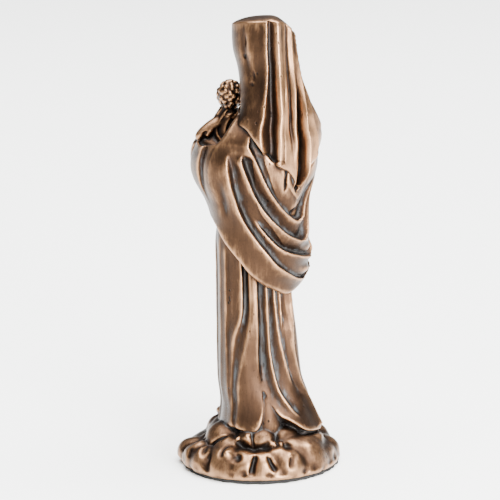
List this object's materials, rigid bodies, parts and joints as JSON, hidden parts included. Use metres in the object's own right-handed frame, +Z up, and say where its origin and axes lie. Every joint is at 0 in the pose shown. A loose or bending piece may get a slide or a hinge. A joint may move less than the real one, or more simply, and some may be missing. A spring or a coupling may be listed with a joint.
{
  "type": "madonna and child statuette",
  "caption": "Bronzed resin statuette of a standing veiled mother holding her child, on a low cloud-shaped base with a felt pad underneath.",
  "frame": {"origin": "middle of the felt pad's underside, on the surface that the statuette stands on", "axes": "+Z up to the crown of the veil, the figure faces -Y, and her left is +X"},
  "size_m": [0.0336, 0.032, 0.09],
  "materials": {
    "bronzed_resin": "brown bronze paint rubbed bright on the ridges, dark brown to slate in the folds, satin, with fine casting pits",
    "black_felt": "thin black felt, cut edge"
  },
  "bodies": {
    "root": {"statuette": "bronzed_resin", "felt_pad": "black_felt"}
  },
  "joints": []
}
